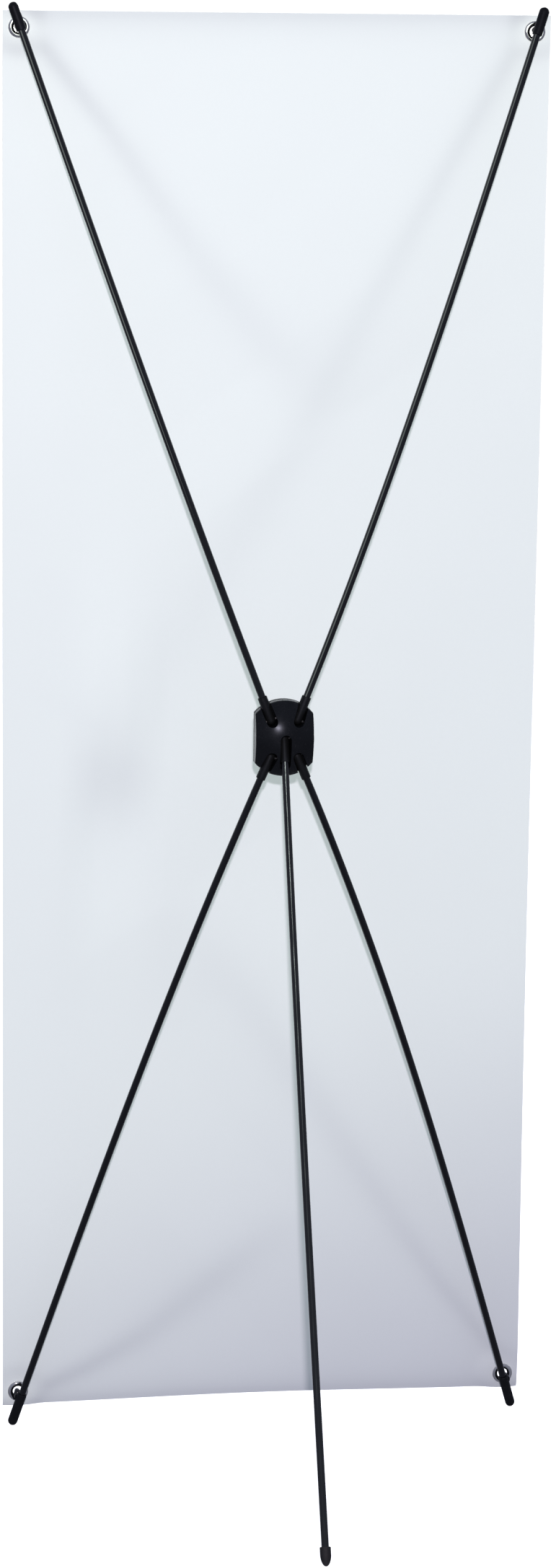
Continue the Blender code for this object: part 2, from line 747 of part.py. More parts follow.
def build_grommet(name, lay):
    """A two-part grommet: an eyelet domed behind the sheet, whose rolled lip holds a washer in front."""
    hole = GROMMET_HOLE_RADIUS
    barrel = hole + GROMMET_WALL
    skin = BANNER_THICKNESS / 2 + PIECE_GAP
    washer_front = -skin - WASHER_THICKNESS
    lip_rear = washer_front - PIECE_GAP
    lip_front = lip_rear - GROMMET_WALL
    middle = (hole + GROMMET_RADIUS) / 2
    half = (GROMMET_RADIUS - hole) / 2
    dome = [(middle - r * half, skin + h * GROMMET_DOME) for r, h in arc(1, 0, math.pi, 6)]
    eyelet = dome + [
        (barrel, skin),
        (barrel, lip_rear),
        (barrel + GROMMET_LIP, lip_rear),
        (barrel + GROMMET_LIP, lip_front),
        (hole, lip_front),
    ]
    turned("grommet_" + name, eyelet, EYELET_STEPS, closed=True, material=NICKEL, matrix=lay)
    washer_hole = barrel + PIECE_GAP
    washer = [
        (washer_hole, -skin),
        (WASHER_RADIUS, -skin),
        (WASHER_RADIUS, washer_front),
        (washer_hole, washer_front),
    ]
    turned("grommet_washer_" + name, washer, EYELET_STEPS, closed=True, material=NICKEL, matrix=lay)


FLOOR = box("floor", (-1, -1, -0.1), (1, 1, 0), guide=True)
build_rear_shell()
build_front_plate()
build_screws()
build_pins()
for arm in ARMS:
    build_arm(*arm)
build_leg()
build_banner()
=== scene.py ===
"""The looks of the spring-back banner stand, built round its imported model.

Same frame as the model, in metres: +Z up, +X to the left as seen from behind, +Y to the rear, where the
camera stands. Each piece of the model is replaced by a finer one in the same place.
"""

import json
import math

import bmesh
import bpy
import numpy as np
from mathutils import Matrix, Vector

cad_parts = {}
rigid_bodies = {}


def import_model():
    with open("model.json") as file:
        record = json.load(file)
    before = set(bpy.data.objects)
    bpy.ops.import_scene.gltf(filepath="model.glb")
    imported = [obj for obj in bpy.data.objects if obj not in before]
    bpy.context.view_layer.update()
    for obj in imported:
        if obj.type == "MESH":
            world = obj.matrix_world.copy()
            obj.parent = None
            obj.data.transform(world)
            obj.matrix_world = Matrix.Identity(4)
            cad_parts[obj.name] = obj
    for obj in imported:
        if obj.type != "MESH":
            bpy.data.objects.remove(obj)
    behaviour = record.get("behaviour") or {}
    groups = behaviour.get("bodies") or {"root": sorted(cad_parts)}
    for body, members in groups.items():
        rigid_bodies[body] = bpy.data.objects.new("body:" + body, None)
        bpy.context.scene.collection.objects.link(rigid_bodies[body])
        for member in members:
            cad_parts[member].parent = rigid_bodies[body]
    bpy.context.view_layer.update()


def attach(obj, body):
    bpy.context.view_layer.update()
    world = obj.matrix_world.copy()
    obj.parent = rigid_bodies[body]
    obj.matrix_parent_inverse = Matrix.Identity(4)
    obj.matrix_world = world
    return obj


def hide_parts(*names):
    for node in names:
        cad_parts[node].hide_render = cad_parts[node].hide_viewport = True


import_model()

MM = 0.001

# The model's sizes
PIECE_GAP = 0.3 * MM
PIN_GAP = 0.25 * MM
BANNER_WIDTH = 610 * MM
BANNER_HEIGHT = 1600 * MM
BANNER_THICKNESS = 0.5 * MM
BANNER_GROUND_GAP = 18 * MM
BANNER_Y = -240.5 * MM
GROMMET_INSET = 17.8 * MM
GROMMET_RADIUS = 12 * MM
GROMMET_HOLE_RADIUS = 6 * MM
GROMMET_WALL = 0.5 * MM
GROMMET_DOME = 2.1 * MM
GROMMET_LIP = 1.7 * MM
WASHER_RADIUS = 11.3 * MM
WASHER_THICKNESS = 0.9 * MM
HUB_CENTRE = Vector((0, BANNER_Y + 105 * MM, 825.5 * MM))
HUB_RADIUS = 42.9 * MM
HUB_WIDTH = 65.2 * MM
HUB_CORNER = 2 * MM
PLATE_THICKNESS = 6 * MM
PARTING_DEPTH = 7 * MM
RIM_REAR = 2 * MM
DOME_RISE = 17 * MM
SHELL_WALL = 3 * MM
HUB_EDGE = 1.2 * MM
CHANNEL_WALL = 2 * MM
PIVOT_SIDE = 15 * MM
PIVOT_RISE = 20.5 * MM
UPPER_ANGLE = math.radians(21.2)
LOWER_ANGLE = math.radians(23.2)
LEG_ANGLE = math.radians(22.4)
SLOT_HALF_WIDTH = 6.2 * MM
LEG_SLOT_LENGTH = 35 * MM
PIN_RADIUS = 1.5 * MM
PIN_LENGTH = 16.4 * MM
POST_LENGTH = 1.8 * MM
SCREW_RADIUS = 1.5 * MM
SCREW_LENGTH = 14 * MM
SCREW_HEAD_RADIUS = 3 * MM
SCREW_HEAD_HEIGHT = 2 * MM
SCREW_RECESS = 2.4 * MM
SCREW_TOP = 31 * MM
SCREW_SIDE = 23 * MM
BOSS_WALL = 2.2 * MM
DRIVER_SLOT = 0.7 * MM
DRIVER_DEPTH = 0.6 * SCREW_HEAD_HEIGHT
DRIVER_REACH = 0.55 * SCREW_HEAD_RADIUS
HEAD_FLAT = 0.6
THREAD_PITCH = 1 * MM
THREAD_ROOT = 0.78 * SCREW_RADIUS
THREAD_TIP = 0.4 * SCREW_RADIUS
PIN_EDGE = 0.3 * MM
SOCKET_RADIUS = 5.3 * MM
SOCKET_REACH = 27.8 * MM
SOCKET_EDGE = 0.4 * MM
SOCKET_FLOOR = 11 * MM
LEAD_IN_DEPTH = 0.5 * MM
LEAD_IN_WIDTH = 0.25 * MM
ROD_RADIUS = 4 * MM
CAP_RADIUS = 5.6 * MM
CAP_LIP = 0.5 * MM
CAP_STANDOFF = 14 * MM
CAP_SPREAD = 7.2 * MM
CAP_RISE = 21.7 * MM
CAP_PAST_PEG = 5 * MM
PEG_ROOT_RADIUS = 5 * MM
PEG_SEAT_RADIUS = 4 * MM
PEG_TAPER = math.radians(9.5)
PEG_PROUD = 6 * MM
PEG_NOSE = 1.2 * MM
FLOOR_FLAT = 0.5 * MM
FOOT_RADIUS = 6 * MM
FOOT_NOSE = 13 * MM
FOOT_SLEEVE = 7.5 * MM
FOOT_DEPTH = 481 * MM

BANNER_MIDDLE = BANNER_GROUND_GAP + BANNER_HEIGHT / 2
GROMMET_X = BANNER_WIDTH / 2 - GROMMET_INSET
GROMMET_LOW = BANNER_GROUND_GAP + GROMMET_INSET
GROMMET_HIGH = BANNER_GROUND_GAP + BANNER_HEIGHT - GROMMET_INSET
SHEET_HOLE_RADIUS = GROMMET_HOLE_RADIUS + GROMMET_WALL + PIECE_GAP
BORE_RADIUS = ROD_RADIUS + PIECE_GAP
PIN_HOLE_RADIUS = PIN_RADIUS + PIN_GAP
PLATE_REAR = -PARTING_DEPTH - PIECE_GAP
PLATE_FRONT = PLATE_REAR - PLATE_THICKNESS
DOME_RADIUS = (HUB_RADIUS**2 + DOME_RISE**2) / (2 * DOME_RISE)

# Facets of the finer pieces. Bends below SMOOTH_BELOW, in degrees, are shaded smooth, and a profile's point
# counts as on its axis if its radius is below ON_AXIS
DOME_STEPS = 144
TURN_STEPS = 48
GROMMET_STEPS = 64
FINE_STEPS = 32
EDGE_STEPS = 4
ROD_SIDES = 28
ROD_RINGS = 72
BANNER_COLUMNS = 122
BANNER_ROWS = 290
SMOOTH_BELOW = 35
ON_AXIS = 1e-9

# The slope at the end of a clamped beam of length 1 whose end is bent aside by 1
BEAM_END_SLOPE = 1.5

# Each arm: its name, its side (1 is left as seen from behind) and 1 for upper or -1 for lower
ARMS = (
    ("upper_left", 1, 1),
    ("upper_right", -1, 1),
    ("lower_left", 1, -1),
    ("lower_right", -1, -1),
)
REST = Matrix()

# The camera's place and axes, from the photograph's perspective, and its lens and sensor in mm
CAMERA_PLACE = (0.6955, 4.4796, 1.7179)
CAMERA_RIGHT = (-0.9893223, 0.1451772, 0.0128417)
CAMERA_DOWN = (0.0163549, 0.1981410, -0.9800371)
CAMERA_LENS = 97.95
CAMERA_SENSOR = 36
CAMERA_REACH = 50

# Panel lamps, with their power in watts and a diameter or (width, height) as size. The key stands a little
# above the camera and throws the pale shadows on the sheet. The front lamp lights the side that the camera
# doesn't see. Each of the others lights a few pieces alone
GLEAM_COLOR = (0.9, 1.0, 0.95)
KEY = {"place": (0.655, 4.53, 2.18), "power": 101, "color": (0.99, 0.885, 0.95), "size": 0.13}
FRONT = {"place": (-1.4, -4, 2.4), "target": (0, BANNER_Y, 0.8), "power": 130, "size": 1.6}
GLEAM = {"place": (0.9, 4.5, 4.3), "power": 240, "color": GLEAM_COLOR, "size": 0.42}
SPARKLE = {"place": (0.2, 3.6, 2.4), "power": 39, "color": GLEAM_COLOR, "size": (3.2, 2.2)}
SHEEN = {"place": (3.0, 3.0, 2.2), "power": 100, "color": GLEAM_COLOR, "size": (3.0, 4.4)}

# The wash, a spot on the sheet alone
WASH = {"place": (0.5, 7.5, 11.6), "target": (0, BANNER_Y, 0.9), "power": 2600, "color": (0.92, 1.0, 0.8)}
WASH_SPREAD = math.radians(30)
WASH_BLEND = 0.5
WASH_BULB = 0.05

# The wash fades towards the sheet's foot. The slopes say how far below the beam's middle it is at its weakest
# and at its strongest, and the shares are those of its power there. A share above 1 only adds to the power
FADE_TILT = (-0.3, 1, 0)
FADE_SLOPES = (0.049, 0.0158)
FADE_SHARES = (0.2, 1.98)

# The soft light from all round: its colours from below and from above, and where it changes from one to the
# other, on a scale from -1 for straight down to 1 for straight up
AMBIENT_BELOW = (0.153, 0.161, 0.213)
AMBIENT_ABOVE = (0.27, 0.292, 0.385)
AMBIENT_CHANGE = (-0.5, 0.6)

# The white behind the stand, and the pale floor
BACKDROP_GLOW = 1.05
FLOOR_GLOW = 0.8
FLOOR_RADIUS = 6
FLOOR_TOP = -0.2 * MM
FLOOR_BOTTOM = -10 * MM
FLOOR_COLOR = (0.9, 0.905, 0.91)
FLOOR_DARK = (0.89, 0.9, 0.905)
FLOOR_PALE = (0.91, 0.915, 0.92)

# The dust on the mouldings, and what the foot picks up from the floor
DUST = (0.16, 0.16, 0.155)
FLOOR_DUST = (0.12, 0.115, 0.11)

# The sockets of a Mix node for colours, by number because it has others with the same names
MIX_SHARE = 0
MIX_FIRST = 6
MIX_SECOND = 7
MIX_RESULT = 2


class Nodes:
    """A material's node tree, with a short way to add and join nodes."""

    def __init__(self, name, color, roughness, **sockets):
        """Other sockets of the shader go by their names, with _ for a space."""
        self.material = bpy.data.materials.new(name)
        self.material.use_nodes = True
        self.tree = self.material.node_tree
        self.shader = self.tree.nodes["Principled BSDF"]
        self.shader.inputs["Base Color"].default_value = (*color, 1)
        self.shader.inputs["Roughness"].default_value = roughness
        for socket, value in sockets.items():
            self.shader.inputs[socket.replace("_", " ")].default_value = value

    def add(self, kind, **settings):
        """A new node with these settings."""
        node = self.tree.nodes.new(kind)
        for key, value in settings.items():
            setattr(node, key, value)
        return node

    def join(self, source, target):
        """Lead a node's output into a socket."""
        self.tree.links.new(source, target)

    def coordinates(self, stretch=(1, 1, 1), attribute=None):
        """Object coordinates, or a mesh attribute, stretched along each axis."""
        if attribute:
            source = self.add("ShaderNodeAttribute", attribute_name=attribute).outputs["Vector"]
        else:
            source = self.add("ShaderNodeTexCoord").outputs["Object"]
        mapping = self.add("ShaderNodeMapping")
        mapping.inputs["Scale"].default_value = stretch
        self.join(source, mapping.inputs["Vector"])
        return mapping.outputs["Vector"]

    def noise(self, at, scale, detail, roughness=0.5):
        """Cloudy noise of about 0.5, finer the larger its scale."""
        node = self.add("ShaderNodeTexNoise")
        node.inputs["Scale"].default_value = scale
        node.inputs["Detail"].default_value = detail
        node.inputs["Roughness"].default_value = roughness
        self.join(at, node.inputs["Vector"])
        return node.outputs["Fac"]

    def spread(self, value, low, high, start=0.3, end=0.7):
        """The value from start to end, spread between low and high."""
        node = self.add("ShaderNodeMapRange")
        for key, number in (("From Min", start), ("From Max", end), ("To Min", low), ("To Max", high)):
            node.inputs[key].default_value = number
        self.join(value, node.inputs["Value"])
        return node.outputs["Result"]

    def mix(self, share, first, second):
        """A colour between two colours. Either is a tuple or another node's output."""
        node = self.add("ShaderNodeMix", data_type="RGBA")
        for socket, color in ((MIX_FIRST, first), (MIX_SECOND, second)):
            if isinstance(color, tuple):
                node.inputs[socket].default_value = (*color, 1)
            else:
                self.join(color, node.inputs[socket])
        self.join(share, node.inputs[MIX_SHARE])
        return node.outputs[MIX_RESULT]

    def bump(self, height, strength, distance):
        """Normals that show the height as a relief, up to a distance."""
        node = self.add("ShaderNodeBump")
        node.inputs["Strength"].default_value = strength
        node.inputs["Distance"].default_value = distance
        self.join(height, node.inputs["Height"])
        return node.outputs["Normal"]

    def surface(self, color, roughness=None, normal=None):
        """Join what is given to the shader, and return the material."""
        for socket, value in (("Base Color", color), ("Roughness", roughness), ("Normal", normal)):
            if value:
                self.join(value, self.shader.inputs[socket])
        return self.material


def tinted(color, factor):
    """The colour made darker or paler by a factor."""
    return tuple(channel * factor for channel in color)


def moulded_plastic(name, color, roughness):
    """Satin moulded plastic: a spark-eroded grain, faint flow marks and dust that dulls it in places."""
    nodes = Nodes(name, color, roughness, IOR=1.45, Specular_IOR_Level=0.2, Specular_Tint=(0.8, 0.88, 1, 1))
    at = nodes.coordinates()
    fine = nodes.noise(at, scale=1600, detail=3)
    cloud = nodes.noise(at, scale=60, detail=4, roughness=0.6)
    dust = nodes.noise(at, scale=420, detail=5, roughness=0.7)
    base = nodes.mix(nodes.spread(cloud, low=0, high=1), tinted(color, 0.86), tinted(color, 1.18))
    dusty = nodes.mix(nodes.spread(dust, low=0, high=0.16, start=0.58, end=0.8), base, DUST)
    rough = nodes.spread(cloud, low=roughness - 0.05, high=roughness + 0.06)
    return nodes.surface(dusty, rough, nodes.bump(fine, strength=0.35, distance=0.02 * MM))


def resin(name, color, roughness):
    """Glass-filled resin, drawn along the rod: fine streaks that follow its length."""
    nodes = Nodes(name, color, roughness, IOR=1.54)
    streaks = nodes.coordinates(stretch=(1, 1, 0.012), attribute="along_rod")
    fibres = nodes.noise(streaks, scale=1500, detail=3, roughness=0.6)
    patches = nodes.coordinates(stretch=(1, 1, 0.15), attribute="along_rod")
    cloud = nodes.noise(patches, scale=160, detail=3)
    base = nodes.mix(nodes.spread(fibres, low=0, high=1), tinted(color, 0.75), tinted(color, 1.5))
    rough = nodes.spread(cloud, low=roughness - 0.02, high=roughness + 0.03)
    return nodes.surface(base, rough, nodes.bump(fibres, strength=0.1, distance=0.01 * MM))


def rubber(name, color, roughness):
    """Matt rubber, scuffed and dusty where it meets the floor."""
    nodes = Nodes(name, color, roughness, IOR=1.5)
    at = nodes.coordinates()
    height = nodes.add("ShaderNodeSeparateXYZ")
    nodes.join(at, height.inputs["Vector"])
    grit = nodes.noise(at, scale=900, detail=4, roughness=0.7)
    near_floor = nodes.spread(height.outputs["Z"], low=0.3, high=0, start=0, end=FOOT_RADIUS)
    dusty = nodes.mix(near_floor, color, FLOOR_DUST)
    base = nodes.mix(nodes.spread(grit, low=0, high=0.25), dusty, tinted(color, 1.6))
    rough = nodes.spread(grit, low=roughness - 0.06, high=roughness + 0.1)
    return nodes.surface(base, rough, nodes.bump(grit, strength=0.4, distance=0.05 * MM))


def plated(name, color, roughness, scratch):
    """Plated metal: a slight cloud in its gloss and hairline scratches."""
    nodes = Nodes(name, color, roughness, Metallic=1.0)
    cloud = nodes.noise(nodes.coordinates(), scale=240, detail=3, roughness=0.6)
    hair = nodes.noise(nodes.coordinates(stretch=(1, 0.08, 1)), scale=2600, detail=2)
    base = nodes.mix(nodes.spread(cloud, low=0, high=1), tinted(color, 0.9), color)
    rough = nodes.spread(cloud, low=roughness * 0.7, high=roughness * 1.4)
    return nodes.surface(base, rough, nodes.bump(hair, strength=scratch, distance=0.01 * MM))


def banner_vinyl(name, color, roughness):
    """Matt white sheet with a fine embossed grain, slightly cloudy and flecked."""
    nodes = Nodes(name, color, roughness, IOR=1.46)
    at = nodes.coordinates()
    grain = nodes.noise(at, scale=950, detail=4, roughness=0.65)
    cloud = nodes.noise(at, scale=7, detail=3, roughness=0.55)
    fleck = nodes.noise(at, scale=260, detail=2, roughness=0.6)
    cloudy = nodes.mix(nodes.spread(cloud, low=0, high=1), tinted(color, 0.985), color)
    base = nodes.mix(nodes.spread(fleck, low=0, high=0.5), cloudy, tinted(color, 0.98))
    rough = nodes.spread(grain, low=roughness - 0.06, high=roughness + 0.06)
    return nodes.surface(base, rough, nodes.bump(grain, strength=0.25, distance=0.02 * MM))


HUB_PLASTIC = moulded_plastic("hub_plastic", color=(0.0085, 0.0095, 0.0105), roughness=0.24)
SOCKET_PLASTIC = moulded_plastic("socket_plastic", color=(0.0085, 0.0092, 0.0092), roughness=0.46)
CAP_PLASTIC = moulded_plastic("cap_plastic", color=(0.0075, 0.008, 0.0085), roughness=0.44)
FOOT_RUBBER = rubber("foot_rubber", color=(0.0085, 0.0085, 0.009), roughness=0.68)
ROD_RESIN = resin("rod_resin", color=(0.0066, 0.0066, 0.0074), roughness=0.11)
STEEL = plated("steel", color=(0.13, 0.13, 0.135), roughness=0.5, scratch=0.3)
NICKEL = plated("nickel", color=(0.82, 0.8, 0.76), roughness=0.09, scratch=0.1)
VINYL = banner_vinyl("vinyl", color=(0.8, 0.84, 0.88), roughness=0.55)


def smooth(mesh, angle=SMOOTH_BELOW):
    """Shade the mesh smooth, except at bends above an angle in degrees."""
    mesh.shade_smooth()
    mesh.set_sharp_from_angle(angle=math.radians(angle))


def add_piece(name, mesh, material=None, matrix=REST):
    """Put the mesh into the scene as an object."""
    obj = bpy.data.objects.new(name, mesh)
    if material:
        mesh.materials.append(material)
    obj.matrix_world = matrix
    bpy.context.scene.collection.objects.link(obj)
    return obj


def mesh_from(name, points, faces):
    """A mesh whose faces all look outwards."""
    mesh = bpy.data.meshes.new(name)
    mesh.from_pydata([tuple(p) for p in points], [], faces)
    bm = bmesh.new()
    bm.from_mesh(mesh)
    bmesh.ops.recalc_face_normals(bm, faces=bm.faces)
    bm.to_mesh(mesh)
    bm.free()
    smooth(mesh)
    return mesh


def lathe(name, profile, steps=TURN_STEPS, closed=False, **placing):
    """A profile of (radius, height) points turned about the local Z axis.

    A point on the axis is one vertex. The last point of a closed profile is joined to the first.
    """
    points = []
    rings = []
    for radius, height in profile:
        start = len(points)
        if radius < ON_AXIS:
            points.append((0, 0, height))
            rings.append([start] * steps)
        else:
            points += [(radius * math.cos(a), radius * math.sin(a), height) for a in turn_angles(steps)]
            rings.append(list(range(start, start + steps)))
    pairs = list(zip(rings, rings[1:]))
    if closed:
        pairs.append((rings[-1], rings[0]))
    faces = []
    for low, high in pairs:
        for i in range(steps):
            j = (i + 1) % steps
            face = list(dict.fromkeys((low[i], low[j], high[j], high[i])))
            if len(face) > 2:
                faces.append(face)
    return add_piece(name, mesh_from(name, points, faces), **placing)


def turn_angles(steps):
    """The angles of one turn, in equal steps."""
    return [2 * math.pi * i / steps for i in range(steps)]


def prism(name, outline, low, high, **placing):
    """A closed outline of (x, y) points, extruded along the local Z axis from low to high."""
    count = len(outline)
    points = [(x, y, low) for x, y in outline] + [(x, y, high) for x, y in outline]
    faces = [list(range(count))[::-1], list(range(count, 2 * count))]
    for i in range(count):
        j = (i + 1) % count
        faces.append([i, j, count + j, count + i])
    return add_piece(name, mesh_from(name, points, faces), **placing)


def block(name, low, high, **placing):
    """A box between two opposite corners."""
    (x0, y0, z0), (x1, y1, z1) = low, high
    return prism(name, [(x0, y0), (x1, y0), (x1, y1), (x0, y1)], z0, z1, **placing)


def cylinder(name, radius, low, high, steps=FINE_STEPS, **placing):
    """A cylinder about the local Z axis, from low to high."""
    return lathe(name, [(0, low), (radius, low), (radius, high), (0, high)], steps, **placing)


def settle(obj):
    """Make what the object's modifiers give its own mesh."""
    bpy.context.view_layer.update()
    shaped = obj.evaluated_get(bpy.context.evaluated_depsgraph_get())
    mesh = bpy.data.meshes.new_from_object(shaped)
    obj.modifiers.clear()
    old, obj.data = obj.data, mesh
    bpy.data.meshes.remove(old)


def combine(target, tools, operation="DIFFERENCE"):
    """Cut the tools out of the target, or join them to it. The tools are used up."""
    for tool in tools:
        modifier = target.modifiers.new(tool.name, "BOOLEAN")
        modifier.operation = operation
        modifier.object = tool
    settle(target)
    for tool in tools:
        bpy.data.objects.remove(tool, do_unlink=True)


def round_edges(obj, width, angle):
    """Round the edges that bend by more than an angle in degrees."""
    edge = obj.modifiers.new("edge", "BEVEL")
    edge.width = width
    edge.segments = EDGE_STEPS
    edge.limit_method = "ANGLE"
    edge.angle_limit = math.radians(angle)
    edge.use_clamp_overlap = False
    settle(obj)


def finish_piece(obj, node, body, angle=SMOOTH_BELOW):
    """Put the piece's place into its mesh, as the model's pieces have it, and let it stand for its node."""
    obj.data.transform(obj.matrix_world)
    obj.matrix_world = REST
    smooth(obj.data, angle)
    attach(obj, body)
    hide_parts(node)


def arc(radius, start, end, steps, centre=(0, 0)):
    """Points on a circle, from one angle to another."""
    turn = [start + (end - start) * i / steps for i in range(steps + 1)]
    return [(centre[0] + radius * math.cos(a), centre[1] + radius * math.sin(a)) for a in turn]


def quarter(radius, height, rounding, steps=6):
    """Points that round an outer edge of a turned piece, from its top face to its side."""
    return arc(rounding, math.pi / 2, 0, steps, (radius - rounding, height - rounding))


def frame_along(origin, direction, across=Vector((0, 1, 0))):
    """A matrix at origin whose Z axis is the direction and whose Y axis leans to across."""
    z = direction.normalized()
    x = across.cross(z).normalized()
    return Matrix.Translation(origin) @ Matrix((x, z.cross(x), z)).transposed().to_4x4()


def beam_bow(share):
    """How far a clamped beam is bent aside at a share of its length, when its end is bent aside by 1."""
    return 1.5 * share**2 - 0.5 * share**3


def socket_and_rod(name, body, pivot, end):
    """A socket on its pivot, and a rod that bends as a clamped beam from the socket's mouth to the end point.

    Returns the rod's direction at its end. The end and the direction are in the pivot's frame.
    """
    ball = arc(SOCKET_RADIUS, 0, -math.pi / 2, steps=14)
    lead_in = [(BORE_RADIUS, SOCKET_REACH - LEAD_IN_DEPTH), (BORE_RADIUS + LEAD_IN_WIDTH, SOCKET_REACH)]
    bore = [(0, SOCKET_FLOOR), (BORE_RADIUS, SOCKET_FLOOR)] + lead_in
    socket = lathe(
        "fine_socket_" + name,
        bore + quarter(SOCKET_RADIUS, SOCKET_REACH, SOCKET_EDGE) + ball,
        material=SOCKET_PLASTIC,
        matrix=pivot,
    )
    across = pivot @ Matrix.Rotation(math.pi / 2, 4, "Y")
    pin_hole = cylinder("pin_hole", PIN_HOLE_RADIUS, -2 * SOCKET_RADIUS, 2 * SOCKET_RADIUS, matrix=across)
    combine(socket, [pin_hole])
    finish_piece(socket, "socket_" + name, body)

    span = end.z - SOCKET_REACH
    push = Vector((end.x, end.y, 0))
    spine = [Vector((0, 0, SOCKET_FLOOR + PIECE_GAP))]
    for i in range(ROD_RINGS + 1):
        share = i / ROD_RINGS
        spine.append(Vector((0, 0, SOCKET_REACH + span * share)) + push * beam_bow(share))
    finish_piece(tube("fine_rod_" + name, spine, ROD_RADIUS, pivot), "rod_" + name, body)
    return (Vector((0, 0, span)) + push * BEAM_END_SLOPE).normalized()


def tube(name, spine, radius, matrix):
    """A round rod along a spine. Its streaks follow a mesh attribute that runs along its length."""
    points = []
    straight = []
    far = 0.0
    last = spine[0]
    for k, centre in enumerate(spine):
        ahead = spine[min(k + 1, len(spine) - 1)] - spine[max(k - 1, 0)]
        turn = frame_along(centre, ahead)
        far += (centre - last).length
        last = centre
        for angle in turn_angles(ROD_SIDES):
            around = Vector((radius * math.cos(angle), radius * math.sin(angle), 0))
            points.append(turn @ around)
            straight.append((around.x, around.y, far))
    faces = []
    for k in range(len(spine) - 1):
        for i in range(ROD_SIDES):
            j = (i + 1) % ROD_SIDES
            low, high = k * ROD_SIDES, (k + 1) * ROD_SIDES
            faces.append([low + i, low + j, high + j, high + i])
    last_ring = (len(spine) - 1) * ROD_SIDES
    faces.append(list(range(ROD_SIDES))[::-1])
    faces.append([last_ring + i for i in range(ROD_SIDES)])
    mesh = mesh_from(name, points, faces)
    attribute = mesh.attributes.new("along_rod", "FLOAT_VECTOR", "POINT")
    attribute.data.foreach_set("vector", np.array(straight, dtype=np.float32).ravel())
    return add_piece(name, mesh, ROD_RESIN, matrix)


def peg_profile(sleeve_depth):
    """A tapered peg with a blunt nose, on a straight root that runs into the cap's sleeve."""
    seat = GROMMET_DOME / 2
    root = seat + (PEG_ROOT_RADIUS - PEG_SEAT_RADIUS) / math.tan(PEG_TAPER)
    tip = PEG_SEAT_RADIUS - (seat + PEG_PROUD) * math.tan(PEG_TAPER)
    nose_angles = (0.35, 0.75, 1.15, math.pi / 2)
    nose = [(tip * math.sin(a), PEG_PROUD + PEG_NOSE * math.cos(a)) for a in nose_angles]
    return [(0, PEG_PROUD + PEG_NOSE)] + nose + [
        (PEG_ROOT_RADIUS, -root),
        (PEG_ROOT_RADIUS, -sleeve_depth),
        (0, -sleeve_depth),
    ]


def sleeve_profile(radius, end):
    """The open end of a cap's sleeve, and its bore up to the rod's end."""
    return [
        (radius, end + CAP_LIP),
        (radius - CAP_LIP, end),
        (BORE_RADIUS, end),
        (BORE_RADIUS, PIECE_GAP),
        (0, PIECE_GAP),
    ]


def floor_cut():
    """A cutter for what would stand below the floor."""
    return block("floor_cut", (-1, -1, -0.1), (1, 1, 0))


def build_arm(name, side, level):
    """An arm of the X: socket, bowed rod and corner cap with its peg."""
    body = "arm_" + name
    angle = UPPER_ANGLE if level > 0 else LOWER_ANGLE
    outward = Vector((side * math.sin(angle), 0, level * math.cos(angle)))
    pivot = frame_along(HUB_CENTRE + Vector((side * PIVOT_SIDE, 0, level * PIVOT_RISE)), outward)
    grommet = Vector((side * GROMMET_X, BANNER_Y, GROMMET_HIGH if level > 0 else GROMMET_LOW))
    centre = Vector((side * (GROMMET_X + CAP_SPREAD), BANNER_Y + CAP_STANDOFF, 0))
    centre.z = GROMMET_HIGH + CAP_RISE if level > 0 else CAP_RADIUS - FLOOR_FLAT
    direction = socket_and_rod(name, body, pivot, pivot.inverted() @ centre)
    along = pivot.to_3x3() @ direction

    slack = GROMMET_HOLE_RADIUS - PEG_SEAT_RADIUS - PIECE_GAP
    peg_at = grommet + outward * slack
    past_peg = (centre.z - peg_at.z) / along.z
    sleeve_end = -past_peg - CAP_PAST_PEG
    cap = lathe(
        "fine_corner_cap_" + name,
        arc(CAP_RADIUS, math.pi / 2, 0, steps=12) + sleeve_profile(CAP_RADIUS, sleeve_end),
        material=CAP_PLASTIC,
        matrix=frame_along(centre, along),
    )
    sleeve_depth = (centre - along * past_peg).y - BANNER_Y
    forward = Matrix.Translation(peg_at) @ Matrix.Rotation(math.pi / 2, 4, "X")
    combine(cap, [lathe("peg", peg_profile(sleeve_depth), FINE_STEPS, matrix=forward)], "UNION")
    lay = cap.matrix_world.copy()
    bore_end = sleeve_end - CAP_PAST_PEG
    combine(cap, [cylinder("cap_bore", BORE_RADIUS, bore_end, PIECE_GAP, TURN_STEPS, matrix=lay)])
    if level < 0:
        combine(cap, [floor_cut()])
    finish_piece(cap, "corner_cap_" + name, body, angle=40)


